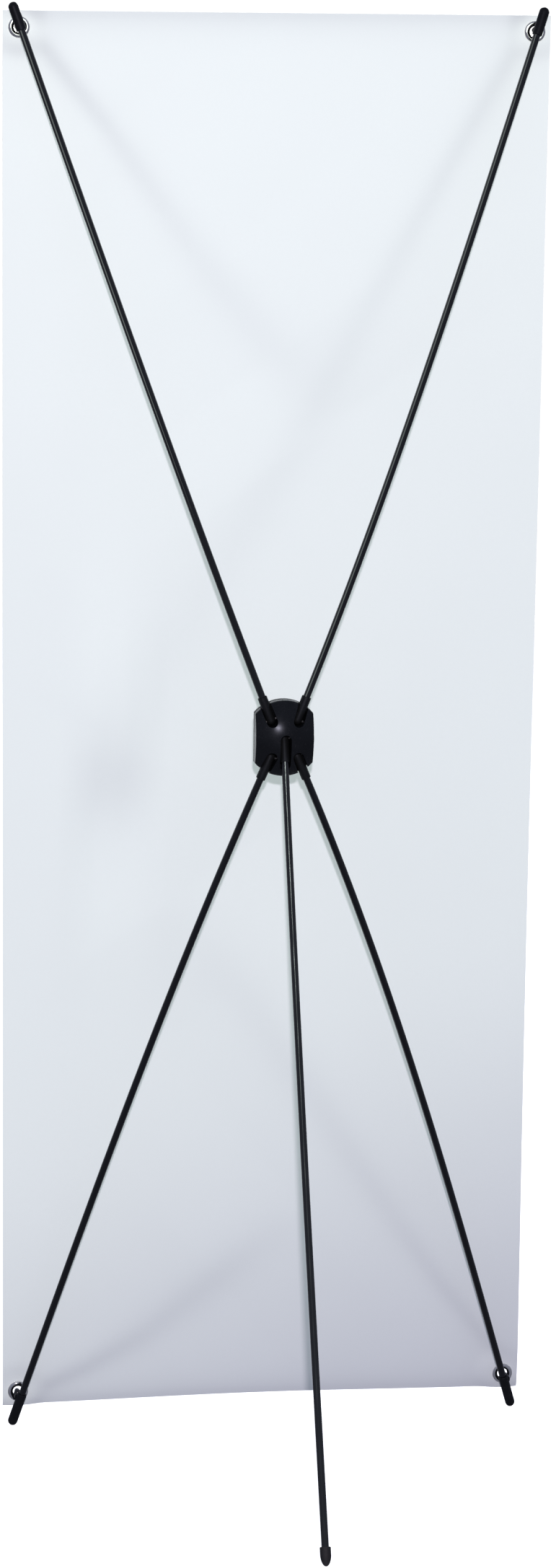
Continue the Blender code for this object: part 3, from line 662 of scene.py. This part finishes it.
def build_leg():
    """The rear leg: its socket, its rod and the rubber foot."""
    outward = Vector((0, math.sin(LEG_ANGLE), -math.cos(LEG_ANGLE)))
    rearward = Vector((0, math.cos(LEG_ANGLE), math.sin(LEG_ANGLE)))
    pivot = frame_along(HUB_CENTRE, outward, rearward)
    foot = Vector((0, BANNER_Y + FOOT_DEPTH, FOOT_NOSE - FLOOR_FLAT))
    # the nose is half an ellipsoid. Its height depends on the leg's slope at the foot and the slope on the
    # height, so a few rounds settle both
    for _ in range(4):
        end = pivot.inverted() @ foot
        lean = Vector((0, end.y * BEAM_END_SLOPE, end.z - SOCKET_REACH)).normalized()
        slope = (pivot.to_3x3() @ lean).z
        foot.z = math.hypot(FOOT_NOSE * slope, FOOT_RADIUS * math.sqrt(1 - slope**2)) - FLOOR_FLAT
    direction = socket_and_rod("rear_leg", "rear_leg", pivot, pivot.inverted() @ foot)
    along = pivot.to_3x3() @ direction
    nose = [(r * FOOT_RADIUS, h * FOOT_NOSE) for r, h in arc(1, math.pi / 2, 0, steps=18)]
    cap = lathe(
        "fine_foot_cap",
        nose + sleeve_profile(FOOT_RADIUS, -FOOT_SLEEVE),
        material=FOOT_RUBBER,
        matrix=frame_along(foot, along, rearward),
    )
    combine(cap, [floor_cut()])
    finish_piece(cap, "foot_cap_rear_leg", "rear_leg")


def hub_outline(inset=0.0, crown_steps=64):
    """The hub's outline: a circle with two flat sides, and rounded corners between them."""
    radius = HUB_RADIUS - inset
    half = HUB_WIDTH / 2 - inset
    centre_x = half - HUB_CORNER
    centre_y = math.sqrt((radius - HUB_CORNER) ** 2 - centre_x**2)
    tangent = math.atan2(centre_y, centre_x)
    corner = arc(HUB_CORNER, 0, tangent, 8, (centre_x, centre_y))
    crown = arc(radius, tangent, math.pi - tangent, crown_steps)[1:-1]
    top = corner + crown + [(-x, y) for x, y in reversed(corner)]
    return top + [(-x, -y) for x, y in top]


def slot_outline(half_width, length, steps=24):
    """A slot that is round about the origin and runs along +Y to a round end at the length."""
    root = arc(half_width, math.pi, 2 * math.pi, steps)
    return root + arc(half_width, 0, math.pi, steps, (0, length - half_width))


def hub_frame(offset=Vector(), direction=0.0):
    """A frame on the hub's pivot plane: local Z to the rear, local Y turned by direction from up to +X."""
    lay = Matrix.Rotation(direction, 4, "Y") @ Matrix.Rotation(-math.pi / 2, 4, "X")
    return Matrix.Translation(HUB_CENTRE + offset) @ lay @ Matrix.Rotation(math.pi, 4, "Z")


def pivots():
    """Each pivot's name, place from the hub's centre, direction of its slot, and length of its slot."""
    for name, side, level in ARMS:
        angle = UPPER_ANGLE if level > 0 else math.pi - LOWER_ANGLE
        yield name, Vector((side * PIVOT_SIDE, 0, level * PIVOT_RISE)), side * angle, 2 * HUB_RADIUS
    yield "rear_leg", Vector(), math.pi, LEG_SLOT_LENGTH


def screw_places():
    """Each screw's name and its place from the hub's centre."""
    yield "top", Vector((0, 0, SCREW_TOP))
    yield "left", Vector((SCREW_SIDE, 0, 0))
    yield "right", Vector((-SCREW_SIDE, 0, 0))


def build_rear_shell():
    """The hub's domed rear shell, hollow, with a slot through it for each socket."""
    rear = RIM_REAR + DOME_RISE
    over = HUB_RADIUS + HUB_EDGE
    lean = math.asin(over / DOME_RADIUS)
    dome_centre = (0, rear - DOME_RADIUS)
    crown = arc(DOME_RADIUS, math.pi / 2, math.pi / 2 - lean, steps=30, centre=dome_centre)
    shell = lathe(
        "fine_hub_rear_shell",
        crown + [(over, -PARTING_DEPTH), (0, -PARTING_DEPTH)],
        DOME_STEPS,
        material=HUB_PLASTIC,
        matrix=hub_frame(),
    )
    outside = prism("outside", hub_outline(), -2 * PARTING_DEPTH, 2 * rear, matrix=hub_frame())
    combine(shell, [outside], "INTERSECT")
    round_edges(shell, HUB_EDGE, angle=25)

    inner_radius = DOME_RADIUS - SHELL_WALL
    inner_lean = math.asin((HUB_RADIUS - SHELL_WALL + HUB_EDGE) / inner_radius)
    ceiling = arc(inner_radius, math.pi / 2, math.pi / 2 - inner_lean, steps=14, centre=dome_centre)
    below = -PARTING_DEPTH - SHELL_WALL
    profile = ceiling + [(ceiling[-1][0], below), (0, below)]
    hollow = lathe("hollow", profile, DOME_STEPS // 2, matrix=hub_frame())
    inside = prism("inside", hub_outline(SHELL_WALL, crown_steps=32), 2 * below, rear, matrix=hub_frame())
    combine(hollow, [inside], "INTERSECT")
    walls = []
    for _, offset, direction, length in pivots():
        outline = slot_outline(SLOT_HALF_WIDTH + CHANNEL_WALL, length + CHANNEL_WALL, steps=12)
        walls.append(prism("channel", outline, 3 * below, 2 * rear, matrix=hub_frame(offset, direction)))
    for _, offset in screw_places():
        boss = cylinder("boss", SCREW_RADIUS + BOSS_WALL, 3 * below, 2 * rear, matrix=hub_frame(offset))
        walls.append(boss)
    combine(hollow, walls)
    combine(shell, [hollow])

    cuts = []
    for _, offset, direction, length in pivots():
        lay = hub_frame(offset, direction)
        outline = slot_outline(SLOT_HALF_WIDTH, length)
        cuts.append(prism("slot", outline, -2 * PARTING_DEPTH, 2 * rear, matrix=lay))
        cuts.append(pin_groove(lay))
    depth = PLATE_FRONT + SCREW_RECESS + SCREW_LENGTH + PIECE_GAP
    for _, offset in screw_places():
        lay = hub_frame(offset)
        cuts.append(cylinder("pilot", SCREW_RADIUS + PIECE_GAP, -2 * PARTING_DEPTH, depth, matrix=lay))
    combine(shell, cuts)
    finish_piece(shell, "hub_rear_shell", "hub", angle=30)


def pin_groove(lay):
    """The groove that holds a pin: open to the front, round at the pin."""
    groove = slot_outline(PIN_HOLE_RADIUS, 2 * PARTING_DEPTH, steps=12)
    length = PIN_LENGTH / 2 + PIN_GAP
    turn = Matrix.Rotation(-math.pi / 2, 4, "Y") @ Matrix.Rotation(math.pi / 2, 4, "Z")
    return prism("groove", groove, -length, length, matrix=lay @ turn)


def build_front_plate():
    """The plate that closes the hub's front, with posts that hold the pins in their grooves."""
    plate = prism(
        "fine_hub_front_plate",
        hub_outline(),
        PLATE_FRONT,
        PLATE_REAR,
        material=HUB_PLASTIC,
        matrix=hub_frame(),
    )
    round_edges(plate, HUB_EDGE, angle=60)
    post_top = -PIN_RADIUS - PIN_GAP
    post_half = PIN_RADIUS - PIN_GAP / 2
    post_middle = (SLOT_HALF_WIDTH + PIN_LENGTH / 2) / 2
    posts = []
    for _, offset, direction, _ in pivots():
        for side in (-1, 1):
            start = side * post_middle - POST_LENGTH / 2
            low = (start, -post_half, PLATE_REAR - HUB_EDGE)
            high = (start + POST_LENGTH, post_half, post_top)
            posts.append(block("post", low, high, matrix=hub_frame(offset, direction)))
    combine(plate, posts, "UNION")
    cuts = []
    seat = PLATE_FRONT + SCREW_RECESS + PIECE_GAP
    for _, offset in screw_places():
        lay = hub_frame(offset)
        cuts.append(cylinder("recess", SCREW_HEAD_RADIUS + PIECE_GAP, 2 * PLATE_FRONT, seat, matrix=lay))
        cuts.append(cylinder("screw_hole", SCREW_RADIUS + PIECE_GAP, PLATE_FRONT, 0, matrix=lay))
    combine(plate, cuts)
    finish_piece(plate, "hub_front_plate", "hub", angle=30)


def build_screws():
    """The screws of the front plate: a pan head with a cross, and a thread's ridges on the shank."""
    seat = PLATE_FRONT + SCREW_RECESS
    top = seat - SCREW_HEAD_HEIGHT
    thread = []
    for i in range(int(SCREW_LENGTH / THREAD_PITCH) - 2):
        at = seat + SCREW_LENGTH - SCREW_RADIUS - THREAD_PITCH * (i + 0.5)
        thread += [(SCREW_RADIUS, at), (THREAD_ROOT, at - THREAD_PITCH / 2)]
    head = [(SCREW_RADIUS, seat), (SCREW_HEAD_RADIUS, seat)]
    for share, rise in arc(1, 0, math.pi / 2, steps=8)[:-1]:
        radius = SCREW_HEAD_RADIUS * (HEAD_FLAT + (1 - HEAD_FLAT) * share)
        head.append((radius, top + SCREW_HEAD_HEIGHT / 2 * (1 - rise)))
    head += [(SCREW_HEAD_RADIUS * HEAD_FLAT, top), (0, top)]
    tip = [(0, seat + SCREW_LENGTH), (THREAD_TIP, seat + SCREW_LENGTH)]
    for name, offset in screw_places():
        lay = hub_frame(offset)
        screw = lathe("fine_hub_screw_" + name, tip + thread + head, FINE_STEPS, material=STEEL, matrix=lay)
        cross = []
        for x, y in ((DRIVER_REACH, DRIVER_SLOT / 2), (DRIVER_SLOT / 2, DRIVER_REACH)):
            low, high = (-x, -y, top - DRIVER_DEPTH), (x, y, top + DRIVER_DEPTH)
            cross.append(block("cross", low, high, matrix=lay))
        combine(screw, cross)
        finish_piece(screw, "hub_screw_" + name, "hub")


def build_pins():
    """The pins on which the sockets turn, with rounded ends."""
    across = Matrix.Rotation(math.pi / 2, 4, "Y")
    half = PIN_LENGTH / 2
    edge = quarter(PIN_RADIUS, half, PIN_EDGE, EDGE_STEPS)
    profile = [(0, half)] + edge + [(r, -h) for r, h in reversed(edge)] + [(0, -half)]
    for name, offset, direction, _ in pivots():
        lay = hub_frame(offset, direction) @ across
        pin = lathe("fine_pivot_pin_" + name, profile, FINE_STEPS, material=STEEL, matrix=lay)
        finish_piece(pin, "pivot_pin_" + name, "hub")


# The banner's creases. Each is a path of places (x, z) in mm, with the slope that the sheet has across the
# crease there, and the half width in mm. The first four run in from the corners
CREASES = (
    (
        (278, 1601, 0.34, 9),
        (190, 1493, 0.2, 12),
        (80, 1340, 0.12, 19),
        (0, 1243, 0.09, 28),
        (-60, 1160, 0, 36),
    ),
    (
        (-276, 1600, 0.21, 10),
        (-180, 1428, 0.13, 12),
        (-118, 1316, 0.1, 15),
        (-41, 1170, 0.08, 22),
        (104, 926, 0.05, 34),
        (170, 800, 0, 40),
    ),
    (
        (-283, 56, 0.3, 8),
        (-212, 148, 0.27, 11),
        (-158, 226, 0.2, 15),
        (-48, 392, 0.14, 24),
        (34, 513, 0.09, 30),
        (110, 620, 0, 40),
    ),
    (
        (280, 30, 0.24, 8),
        (205, 62, 0.21, 12),
        (140, 98, 0.15, 17),
        (55, 163, 0.13, 22),
        (-46, 242, 0, 26),
    ),
    (
        (240, 762, 0, 62),
        (200, 762, 0.11, 62),
        (165, 762, 0.11, 62),
        (120, 762, 0, 62),
    ),
)

# The sheet's other bends, in mm. A crease fades over its reach. The sides of the sheet roll to the front
# between these distances from its middle, the right one more so towards its foot. The bottom hem bows to the
# front between its corners, its edge curls that way too, and the top edge curls to the rear. Round a grommet
# the sheet is flat up to the first distance, and from the second it is bent in full. FAR is off the sheet
CREASE_REACH = 170
EDGE_ROLL = 9.0
RIGHT_ROLL = (90, 305)
RIGHT_ROLL_FOOT = 1.25
LEFT_ROLL = (235, 305)
LEFT_ROLL_SHARE = 0.35
HEM_BOW = 9.0
HEM_REACH = 260.0
HEM_CURL = 4.5
HEAD_CURL = 3.0
CURL_REACH = 14
GROMMET_CALM = (12, 36)
FAR = 1e9


def ease(value):
    """A smooth step from 0 to 1."""
    value = np.clip(value, 0, 1)
    return value * value * (3 - 2 * value)


def crease_depth(x, z, path):
    """The depth of one crease: a soft step across the path, which fades at its far end and away from it."""
    path = np.array(path, float)
    best = np.full(x.shape, FAR)
    signed = np.zeros(x.shape)
    slope = np.zeros(x.shape)
    width = np.ones(x.shape)
    for start, end in zip(path[:-1], path[1:]):
        length = math.dist(start[:2], end[:2])
        along = (end[:2] - start[:2]) / length
        upward = np.array((-along[1], along[0])) * np.sign(along[0])
        dx, dz = x - start[0], z - start[1]
        t = np.clip(dx * along[0] + dz * along[1], 0, length)
        away = np.hypot(dx - t * along[0], dz - t * along[1])
        nearer = away < best
        best = np.where(nearer, away, best)
        signed = np.where(nearer, dx * upward[0] + dz * upward[1], signed)
        slope = np.where(nearer, start[2] + (end[2] - start[2]) * t / length, slope)
        width = np.where(nearer, start[3] + (end[3] - start[3]) * t / length, width)
    return slope * width * np.tanh(signed / width) * np.exp(-((best / CREASE_REACH) ** 2))


def sheet_depth(x, z):
    """How far the sheet stands behind its plane, in mm, at places in mm."""
    depth = np.zeros(x.shape)
    for crease in CREASES:
        depth += crease_depth(x, z, crease)
    half_width = GROMMET_X / MM
    low, high = GROMMET_LOW / MM, GROMMET_HIGH / MM
    upright = np.clip((z - low) / (high - low), 0, 1)
    between = np.sin(math.pi * upright)
    start, end = RIGHT_ROLL
    right = ease((-x - start) / (end - start))
    depth -= EDGE_ROLL * right * between * (RIGHT_ROLL_FOOT - upright)
    start, end = LEFT_ROLL
    left = ease((x - start) / (end - start))
    depth -= EDGE_ROLL * LEFT_ROLL_SHARE * left * between
    across = np.minimum(np.abs(x) / half_width, 1)
    hem = 0.5 * (1 + np.cos(math.pi * across))
    bottom = BANNER_GROUND_GAP / MM
    depth -= HEM_BOW * hem * np.exp(-(z - bottom) / HEM_REACH)
    depth -= HEM_CURL * np.exp(-(z - bottom) / CURL_REACH)
    depth += HEAD_CURL * np.exp(-(bottom + BANNER_HEIGHT / MM - z) / CURL_REACH)
    near = np.full(x.shape, FAR)
    for _, side, level in ARMS:
        near = np.minimum(near, np.hypot(x - side * half_width, z - (high if level > 0 else low)))
    start, end = GROMMET_CALM
    return depth * ease((near - start) / (end - start))


def build_banner():
    """The banner: one sheet with its creases, and a hole for each grommet."""
    columns = np.linspace(-BANNER_WIDTH / 2, BANNER_WIDTH / 2, BANNER_COLUMNS + 1)
    rows = np.linspace(BANNER_GROUND_GAP, BANNER_GROUND_GAP + BANNER_HEIGHT, BANNER_ROWS + 1)
    x, z = np.meshgrid(columns, rows)
    depth = sheet_depth(x / MM, z / MM) * MM
    points = np.stack([x, depth, z - BANNER_MIDDLE], -1).reshape(-1, 3)
    wide = BANNER_COLUMNS + 1
    faces = []
    for row in range(BANNER_ROWS):
        for column in range(BANNER_COLUMNS):
            at = row * wide + column
            faces.append([at, at + wide, at + wide + 1, at + 1])
    mesh = bpy.data.meshes.new("fine_banner")
    mesh.from_pydata(points.tolist(), [], faces)
    sheet = add_piece("fine_banner", mesh, VINYL, Matrix.Translation((0, BANNER_Y, BANNER_MIDDLE)))
    skin = sheet.modifiers.new("thickness", "SOLIDIFY")
    skin.thickness = BANNER_THICKNESS
    skin.offset = 0
    settle(sheet)
    holes = []
    for _, lay in grommet_places():
        holes.append(cylinder("sheet_hole", SHEET_HOLE_RADIUS, -5 * MM, 5 * MM, matrix=lay))
    combine(sheet, holes)
    finish_piece(sheet, "banner", "banner", angle=50)
    return sheet


def grommet_places():
    """Each grommet's name and its frame, with local Z to the rear."""
    for name, side, level in ARMS:
        at = Vector((side * GROMMET_X, BANNER_Y, GROMMET_HIGH if level > 0 else GROMMET_LOW))
        yield name, Matrix.Translation(at) @ Matrix.Rotation(-math.pi / 2, 4, "X")


def build_grommets():
    """Each grommet: an eyelet domed behind the sheet, whose rolled lip holds a washer in front."""
    hole = GROMMET_HOLE_RADIUS
    barrel = hole + GROMMET_WALL
    skin = BANNER_THICKNESS / 2 + PIECE_GAP
    washer_front = -skin - WASHER_THICKNESS
    lip_rear = washer_front - PIECE_GAP
    lip_front = lip_rear - GROMMET_WALL
    middle = (hole + GROMMET_RADIUS) / 2
    half = (GROMMET_RADIUS - hole) / 2
    dome = [(middle - r * half, skin + h * GROMMET_DOME) for r, h in arc(1, 0, math.pi, steps=20)]
    lip_end = (barrel + GROMMET_LIP - GROMMET_WALL / 2, (lip_rear + lip_front) / 2)
    lip = arc(GROMMET_WALL / 2, math.pi / 2, -math.pi / 2, steps=6, centre=lip_end)
    eyelet = dome + [(barrel, skin), (barrel, lip_rear)] + lip + [(hole, lip_front)]

    rounding = WASHER_THICKNESS / 3
    rim = WASHER_RADIUS - rounding
    rear_edge = arc(rounding, math.pi / 2, 0, EDGE_STEPS, (rim, -skin - rounding))
    front_edge = arc(rounding, 0, -math.pi / 2, EDGE_STEPS, (rim, washer_front + rounding))
    washer_hole = barrel + PIECE_GAP
    washer = [(washer_hole, -skin)] + rear_edge + front_edge + [(washer_hole, washer_front)]
    for name, lay in grommet_places():
        for node, profile in (("grommet_" + name, eyelet), ("grommet_washer_" + name, washer)):
            ring = lathe("fine_" + node, profile, GROMMET_STEPS, closed=True, material=NICKEL, matrix=lay)
            finish_piece(ring, node, "banner")


def build_camera():
    """The camera, at the photograph's angle."""
    camera = bpy.data.cameras.new("camera")
    camera.sensor_fit = "AUTO"
    camera.sensor_width = CAMERA_SENSOR
    camera.lens = CAMERA_LENS
    camera.clip_end = CAMERA_REACH
    eye = bpy.data.objects.new("camera", camera)
    right = Vector(CAMERA_RIGHT)
    down = Vector(CAMERA_DOWN)
    axes = Matrix((right, -down, -right.cross(down))).transposed()
    eye.matrix_world = Matrix.Translation(CAMERA_PLACE) @ axes.to_4x4()
    bpy.context.scene.collection.objects.link(eye)
    bpy.context.scene.camera = eye


def build_floor():
    """A pale floor that glows a little, so that the camera sees it as white as the backdrop."""
    outline = arc(FLOOR_RADIUS, 0, 2 * math.pi, steps=96)[:-1]
    floor = prism("floor", outline, FLOOR_BOTTOM, FLOOR_TOP)
    nodes = Nodes("floor", FLOOR_COLOR, roughness=0.6)
    cloud = nodes.noise(nodes.coordinates(), scale=3, detail=3)
    base = nodes.mix(nodes.spread(cloud, low=0, high=1), FLOOR_DARK, FLOOR_PALE)
    nodes.shader.inputs["Emission Color"].default_value = (1, 1, 1, 1)
    nodes.shader.inputs["Emission Strength"].default_value = FLOOR_GLOW
    floor.data.materials.append(nodes.surface(base))
    nodes.material.cycles.emission_sampling = "NONE"
    floor.visible_diffuse = False
    floor.visible_glossy = False


def build_lights(sheet):
    """The key and front lamps, the sheet's wash, and three lamps that put highlights on a few pieces."""
    key = new_panel("key", **KEY)
    new_panel("front", **FRONT)

    wash = new_light("wash", "SPOT", **WASH)
    wash.data.spot_size = WASH_SPREAD
    wash.data.spot_blend = WASH_BLEND
    wash.data.shadow_soft_size = WASH_BULB
    fade_downwards(wash.data, FADE_TILT, FADE_SLOPES, FADE_SHARES)
    light_only(wash, [sheet])

    rods = pieces_named("fine_rod")
    light_all_but(key, rods)

    # the gleam is at the leg's root, and the sheen runs down the left of the upper rods
    light_only(new_panel("gleam", **GLEAM), pieces_named("fine_rod_rear_leg"))
    light_only(new_panel("sparkle", **SPARKLE), pieces_named("fine_grommet_upper"))
    light_only(new_panel("sheen", **SHEEN), [rod for rod in rods if "upper" in rod.name])


def pieces_named(start):
    """The pieces whose names begin like this."""
    return [obj for obj in bpy.data.objects if obj.name.startswith(start)]


def light_only(light, objects):
    """Light these objects alone, and let no other shade them."""
    linked = bpy.data.collections.new(light.name + "_linked")
    for obj in objects:
        linked.objects.link(obj)
    light.light_linking.receiver_collection = linked
    light.light_linking.blocker_collection = linked


def light_all_but(light, objects):
    """Keep a light off these objects, which still shade the rest."""
    spared = bpy.data.collections.new(light.name + "_spared")
    for obj in objects:
        spared.objects.link(obj)
    for entry in spared.collection_objects:
        entry.light_linking.link_state = "EXCLUDE"
    light.light_linking.receiver_collection = spared


def fade_downwards(light, tilt, slopes, shares):
    """Dim a spot's beam towards its lower side, as a tilted flag before the lamp does."""
    light.use_nodes = True
    tree = light.node_tree
    direction = tree.nodes.new("ShaderNodeTexCoord").outputs["Normal"]
    across = tree.nodes.new("ShaderNodeVectorMath")
    across.operation = "DOT_PRODUCT"
    across.inputs[1].default_value = tilt
    split = tree.nodes.new("ShaderNodeSeparateXYZ")
    slope = tree.nodes.new("ShaderNodeMath")
    slope.operation = "DIVIDE"
    ramp = tree.nodes.new("ShaderNodeMapRange")
    ramp.interpolation_type = "SMOOTHSTEP"
    for key, value in zip(("From Min", "From Max", "To Min", "To Max"), slopes + shares):
        ramp.inputs[key].default_value = value
    tree.links.new(direction, split.inputs["Vector"])
    tree.links.new(direction, across.inputs[0])
    tree.links.new(across.outputs["Value"], slope.inputs[0])
    tree.links.new(split.outputs["Z"], slope.inputs[1])
    tree.links.new(slope.outputs["Value"], ramp.inputs["Value"])
    tree.links.new(ramp.outputs["Result"], tree.nodes["Emission"].inputs["Strength"])


def build_surround():
    """A white surround for the camera, and a softer one for the light, dimmer from below."""
    world = bpy.data.worlds.new("studio")
    bpy.context.scene.world = world
    world.use_nodes = True
    tree = world.node_tree
    soft = tree.nodes["Background"]
    place = tree.nodes.new("ShaderNodeTexCoord")
    split = tree.nodes.new("ShaderNodeSeparateXYZ")
    ramp = tree.nodes.new("ShaderNodeMapRange")
    for key, value in zip(("From Min", "From Max"), AMBIENT_CHANGE):
        ramp.inputs[key].default_value = value
    blend = tree.nodes.new("ShaderNodeMix")
    blend.data_type = "RGBA"
    blend.inputs[MIX_FIRST].default_value = (*AMBIENT_BELOW, 1)
    blend.inputs[MIX_SECOND].default_value = (*AMBIENT_ABOVE, 1)
    white = tree.nodes.new("ShaderNodeBackground")
    white.inputs["Color"].default_value = (1, 1, 1, 1)
    white.inputs["Strength"].default_value = BACKDROP_GLOW
    path = tree.nodes.new("ShaderNodeLightPath")
    mixer = tree.nodes.new("ShaderNodeMixShader")
    tree.links.new(place.outputs["Generated"], split.inputs["Vector"])
    tree.links.new(split.outputs["Z"], ramp.inputs["Value"])
    tree.links.new(ramp.outputs["Result"], blend.inputs[MIX_SHARE])
    tree.links.new(blend.outputs[MIX_RESULT], soft.inputs["Color"])
    tree.links.new(path.outputs["Is Camera Ray"], mixer.inputs["Fac"])
    tree.links.new(soft.outputs["Background"], mixer.inputs[1])
    tree.links.new(white.outputs["Background"], mixer.inputs[2])
    tree.links.new(mixer.outputs["Shader"], tree.nodes["World Output"].inputs["Surface"])


def new_light(name, kind, place, power, target=HUB_CENTRE, color=(1, 1, 1)):
    """A lamp that is turned to its target and that the camera doesn't see."""
    light = bpy.data.lights.new(name, kind)
    light.energy = power
    light.color = color
    obj = bpy.data.objects.new(name, light)
    obj.location = place
    obj.rotation_euler = (Vector(target) - Vector(place)).to_track_quat("-Z", "Y").to_euler()
    obj.visible_camera = False
    bpy.context.scene.collection.objects.link(obj)
    return obj


def new_panel(name, size, **settings):
    """A panel lamp: a disk, or a rectangle if its size is a (width, height)."""
    panel = new_light(name, "AREA", **settings)
    if isinstance(size, tuple):
        panel.data.shape = "RECTANGLE"
        panel.data.size, panel.data.size_y = size
    else:
        panel.data.shape = "DISK"
        panel.data.size = size
    return panel


build_rear_shell()
build_front_plate()
build_screws()
build_pins()
for arm in ARMS:
    build_arm(*arm)
build_leg()
banner = build_banner()
build_grommets()
build_camera()
build_floor()
build_lights(banner)
build_surround()
bpy.context.scene.view_settings.view_transform = "Standard"
